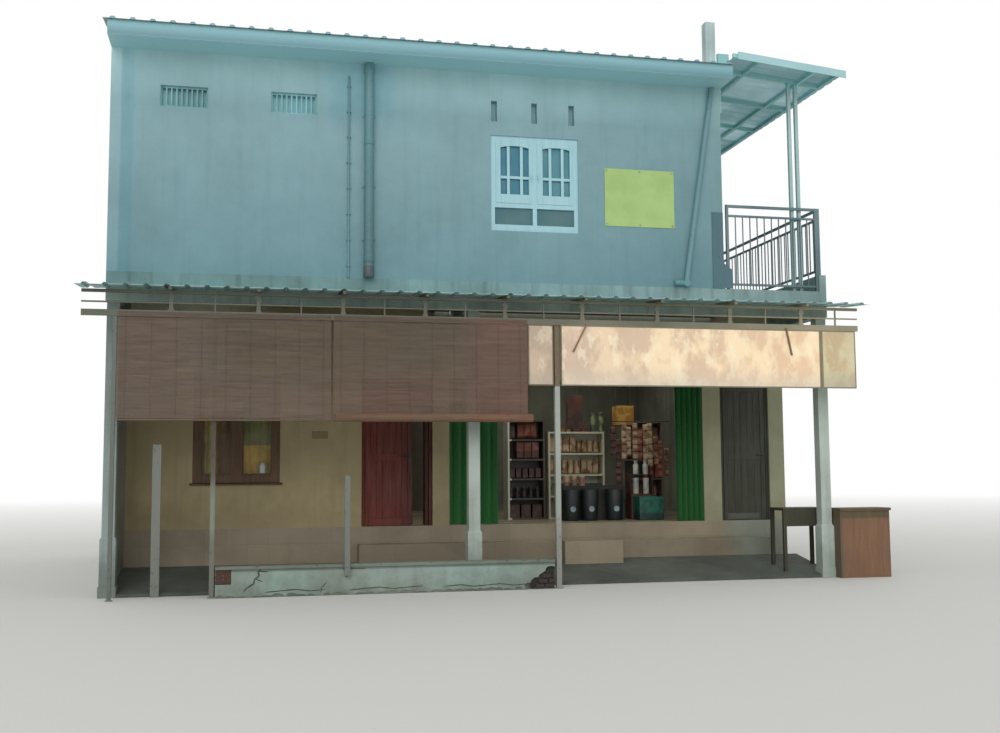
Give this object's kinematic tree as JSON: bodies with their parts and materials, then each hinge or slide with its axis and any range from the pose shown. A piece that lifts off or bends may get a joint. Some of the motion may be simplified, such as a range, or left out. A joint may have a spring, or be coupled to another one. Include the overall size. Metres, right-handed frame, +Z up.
{
  "type": "two-storey corner shop house",
  "caption": "Two-storey corner shop house with a set-back shop front, porch columns, upper side terrace with canopy, street awning and hinged doors.",
  "frame": {"origin": "on the ground, under the middle of the upper front wall's outer face", "axes": "+X along the street to the right, +Y into the house, +Z up"},
  "size_m": [11.44, 9.45, 8.6],
  "materials": {
    "concrete": "rough painted concrete",
    "step_tile": "matt beige floor tile, worn",
    "porch_concrete": "rough trodden concrete",
    "cream_plaster": "matt cream wall paint",
    "grey_plaster": "bare grey plaster",
    "column_paint": "worn white paint on plaster",
    "upper_plaster": "matt grey-green wall paint",
    "white_wood": "white gloss paint",
    "brown_wood": "brown varnish",
    "window_glass": "tinted, smooth",
    "roof_sheet": "weathered zinc sheet",
    "canopy_sheet": "pale sheet, matt with dirt",
    "steel_paint": "grey-green paint, dull",
    "dark_steel": "dark paint",
    "eave_paint": "grey-green paint",
    "low_wall_paint": "worn white paint over brick",
    "counter_board": "orange-brown paint",
    "sign_panel": "bare weathered sheet",
    "blind_slats": "bare bamboo",
    "red_wood": "red-brown paint",
    "side_door_wood": "dark stain",
    "green_steel": "dark green paint",
    "banner_cloth": "plain printed cloth",
    "pipe_plastic": "painted pipe",
    "post_paint": "pale worn paint",
    "shelf_paint": "white paint",
    "counter_dark": "dark blue paint"
  },
  "bodies": {
    "house": {"shop_floor": "step_tile", "shop_steps": "step_tile", "porch_floor": "porch_concrete", "ground_front_wall": "cream_plaster", "left_ground_wall": "grey_plaster", "right_ground_wall": "grey_plaster", "back_ground_wall": "grey_plaster", "porch_columns": "column_paint", "porch_beams": "concrete", "upper_floor_slab": "concrete", "terrace_kerb": "concrete", "upper_front_wall": "upper_plaster", "upper_left_wall": "upper_plaster", "upper_right_wall": "upper_plaster", "upper_back_wall": "upper_plaster", "corner_stub": "concrete", "vent_grilles": "concrete", "upper_window_frames": "white_wood", "ground_window_frames": "brown_wood", "window_glass": "window_glass", "terrace_door": "brown_wood", "main_roof": "roof_sheet", "roof_purlins": "steel_paint", "eave_box": "eave_paint", "canopy_roof": "canopy_sheet", "canopy_frame": "steel_paint", "canopy_posts": "steel_paint", "terrace_rail_front": "dark_steel", "terrace_rail_side": "dark_steel", "awning_roof": "roof_sheet", "awning_truss": "steel_paint", "awning_bearers": "steel_paint", "awning_posts": "post_paint", "low_wall": "low_wall_paint", "counter_wall": "counter_board", "signboard": "sign_panel", "sign_arms": "dark_steel", "blinds": "blind_slats", "door_frames": "red_wood", "folding_doors": "green_steel", "folding_door_track": "green_steel", "banner": "banner_cloth", "downpipes": "pipe_plastic", "gate_posts": "post_paint", "shop_shelves": "shelf_paint", "display_counter": "counter_dark"},
    "red_wide_leaf": {"red_door_wide_leaf": "red_wood"},
    "red_narrow_leaf": {"red_door_narrow_leaf": "red_wood"},
    "side_leaf": {"side_door_leaf": "side_door_wood"}
  },
  "joints": [
    {"name": "red_wide_hinge", "type": "hinge", "parent": "house", "child": "red_wide_leaf", "pos_m": [-1.597, 1.64, 1.8], "axis": [0, 0, 1], "range_deg": [0, 90]},
    {"name": "red_narrow_hinge", "type": "hinge", "parent": "house", "child": "red_narrow_leaf", "pos_m": [-0.643, 1.64, 1.8], "axis": [0, 0, 1], "range_deg": [0, 90]},
    {"name": "side_hinge", "type": "hinge", "parent": "house", "child": "side_leaf", "pos_m": [4.128, 1.64, 1.8], "axis": [0, 0, 1], "range_deg": [0, 90]}
  ]
}
